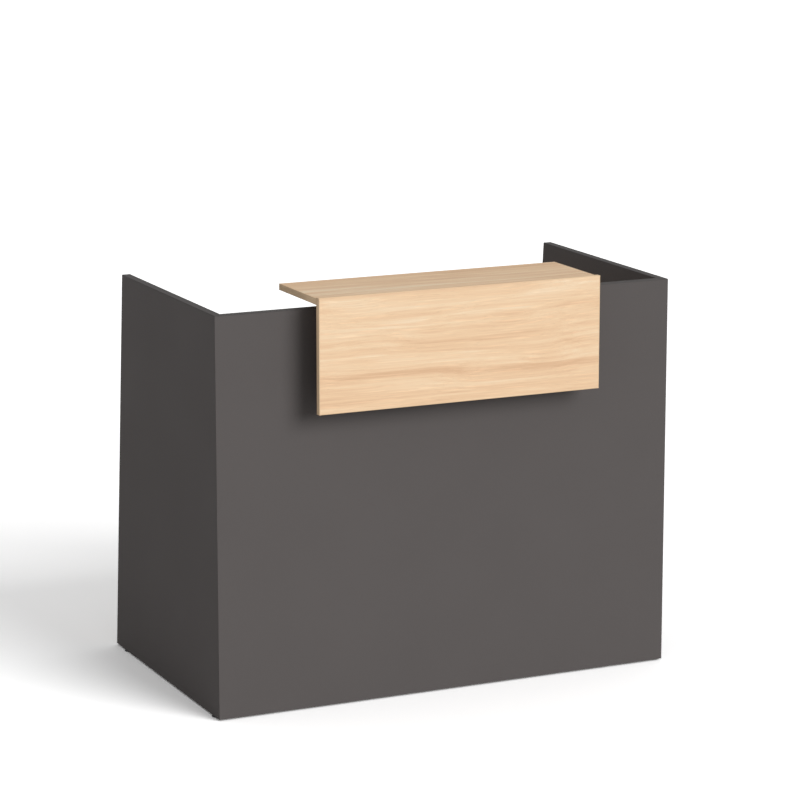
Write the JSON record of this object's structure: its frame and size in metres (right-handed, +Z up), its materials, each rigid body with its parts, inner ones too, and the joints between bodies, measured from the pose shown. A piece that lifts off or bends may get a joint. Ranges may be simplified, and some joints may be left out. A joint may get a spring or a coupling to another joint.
{
  "type": "reception desk",
  "caption": "Straight reception desk: a mitred charcoal carcass with sloping rear edges, a worktop inside it and a raised wood-decor counter standing off its front.",
  "frame": {"origin": "on the floor, under the middle of the desk's bounding box", "axes": "+X along the front to a visitor's right, +Y from the visitor's side to the staff's side, +Z up"},
  "size_m": [1.355, 0.883, 1.1405],
  "materials": {
    "charcoal_board": "matt melamine on chipboard",
    "charcoal_edging": "satin edge strip",
    "wood_board": "satin light wood decor on chipboard",
    "wood_edging": "satin wood-decor edge strip",
    "plywood": "raw birch plywood",
    "zinc_steel": "bright zinc plating",
    "satin_aluminium": "satin anodised",
    "black_plastic": "fine-grained moulded"
  },
  "bodies": {
    "desk": {"front_panel": "charcoal_board", "front_panel_edging": "charcoal_edging", "side_panel_left": "charcoal_board", "side_panel_right": "charcoal_board", "side_top_edging_left": "charcoal_edging", "side_top_edging_right": "charcoal_edging", "side_rear_edging_left": "charcoal_edging", "side_rear_edging_right": "charcoal_edging", "corner_tongue_left": "plywood", "corner_tongue_right": "plywood", "corner_bracket_left_lower": "zinc_steel", "corner_bracket_left_upper": "zinc_steel", "corner_bracket_right_lower": "zinc_steel", "corner_bracket_right_upper": "zinc_steel", "worktop": "wood_board", "worktop_edging": "wood_edging", "port_ring_left": "black_plastic", "port_ring_right": "black_plastic", "worktop_bracket_left_front": "zinc_steel", "worktop_bracket_left_rear": "zinc_steel", "worktop_bracket_right_front": "zinc_steel", "worktop_bracket_right_rear": "zinc_steel", "worktop_bracket_front_left": "zinc_steel", "worktop_bracket_front_right": "zinc_steel", "counter_shelf": "wood_board", "counter_fascia": "wood_board", "counter_tongue": "plywood", "shelf_rear_edging": "wood_edging", "fascia_top_edging": "wood_edging", "fascia_bottom_edging": "wood_edging", "shelf_end_edging_left": "wood_edging", "shelf_end_edging_right": "wood_edging", "fascia_end_edging_left": "wood_edging", "fascia_end_edging_right": "wood_edging", "fascia_spacer_left_lower": "satin_aluminium", "fascia_spacer_left_upper": "satin_aluminium", "fascia_spacer_right_lower": "satin_aluminium", "fascia_spacer_right_upper": "satin_aluminium", "fascia_screw_left_lower": "zinc_steel", "fascia_screw_left_upper": "zinc_steel", "fascia_screw_right_lower": "zinc_steel", "fascia_screw_right_upper": "zinc_steel", "shelf_post_left": "satin_aluminium", "shelf_post_right": "satin_aluminium", "shelf_stud_left": "zinc_steel", "shelf_stud_right": "zinc_steel", "foot_insert_left_front": "zinc_steel", "foot_insert_left_rear": "zinc_steel", "foot_insert_right_front": "zinc_steel", "foot_insert_right_rear": "zinc_steel"},
    "port_cap_left": {"port_cap_left": "black_plastic"},
    "port_cap_right": {"port_cap_right": "black_plastic"},
    "foot_pad_left_front": {"foot_pad_left_front": "black_plastic"},
    "foot_pad_left_rear": {"foot_pad_left_rear": "black_plastic"},
    "foot_pad_right_front": {"foot_pad_right_front": "black_plastic"},
    "foot_pad_right_rear": {"foot_pad_right_rear": "black_plastic"},
    "foot_spindle_left_front": {"foot_spindle_left_front": "zinc_steel"},
    "foot_spindle_left_rear": {"foot_spindle_left_rear": "zinc_steel"},
    "foot_spindle_right_front": {"foot_spindle_right_front": "zinc_steel"},
    "foot_spindle_right_rear": {"foot_spindle_right_rear": "zinc_steel"}
  },
  "joints": [
    {"name": "port_cap_left_lift", "type": "slide", "parent": "desk", "child": "port_cap_left", "axis": [0, 0, 1], "range_m": [0, 0.04]},
    {"name": "port_cap_right_lift", "type": "slide", "parent": "desk", "child": "port_cap_right", "axis": [0, 0, 1], "range_m": [0, 0.04]},
    {"name": "foot_left_front_height", "type": "slide", "parent": "desk", "child": "foot_pad_left_front", "axis": [0, 0, -1], "range_m": [0, 0.015]},
    {"name": "foot_left_rear_height", "type": "slide", "parent": "desk", "child": "foot_pad_left_rear", "axis": [0, 0, -1], "range_m": [0, 0.015]},
    {"name": "foot_right_front_height", "type": "slide", "parent": "desk", "child": "foot_pad_right_front", "axis": [0, 0, -1], "range_m": [0, 0.015]},
    {"name": "foot_right_rear_height", "type": "slide", "parent": "desk", "child": "foot_pad_right_rear", "axis": [0, 0, -1], "range_m": [0, 0.015]},
    {"name": "foot_left_front_turn", "type": "hinge", "parent": "foot_pad_left_front", "child": "foot_spindle_left_front", "pos_m": [-0.6625, -0.3105, 0.02], "axis": [0, 0, -1], "range_deg": [0, 4320]},
    {"name": "foot_left_rear_turn", "type": "hinge", "parent": "foot_pad_left_rear", "child": "foot_spindle_left_rear", "pos_m": [-0.6625, 0.3665, 0.02], "axis": [0, 0, -1], "range_deg": [0, 4320]},
    {"name": "foot_right_front_turn", "type": "hinge", "parent": "foot_pad_right_front", "child": "foot_spindle_right_front", "pos_m": [0.6625, -0.3105, 0.02], "axis": [0, 0, -1], "range_deg": [0, 4320]},
    {"name": "foot_right_rear_turn", "type": "hinge", "parent": "foot_pad_right_rear", "child": "foot_spindle_right_rear", "pos_m": [0.6625, 0.3665, 0.02], "axis": [0, 0, -1], "range_deg": [0, 4320]}
  ],
  "couplings": [
    {"joint": "foot_left_front_height", "follows": "foot_left_front_turn", "m_per_rad": 0.00019894},
    {"joint": "foot_left_rear_height", "follows": "foot_left_rear_turn", "m_per_rad": 0.00019894},
    {"joint": "foot_right_front_height", "follows": "foot_right_front_turn", "m_per_rad": 0.00019894},
    {"joint": "foot_right_rear_height", "follows": "foot_right_rear_turn", "m_per_rad": 0.00019894}
  ]
}
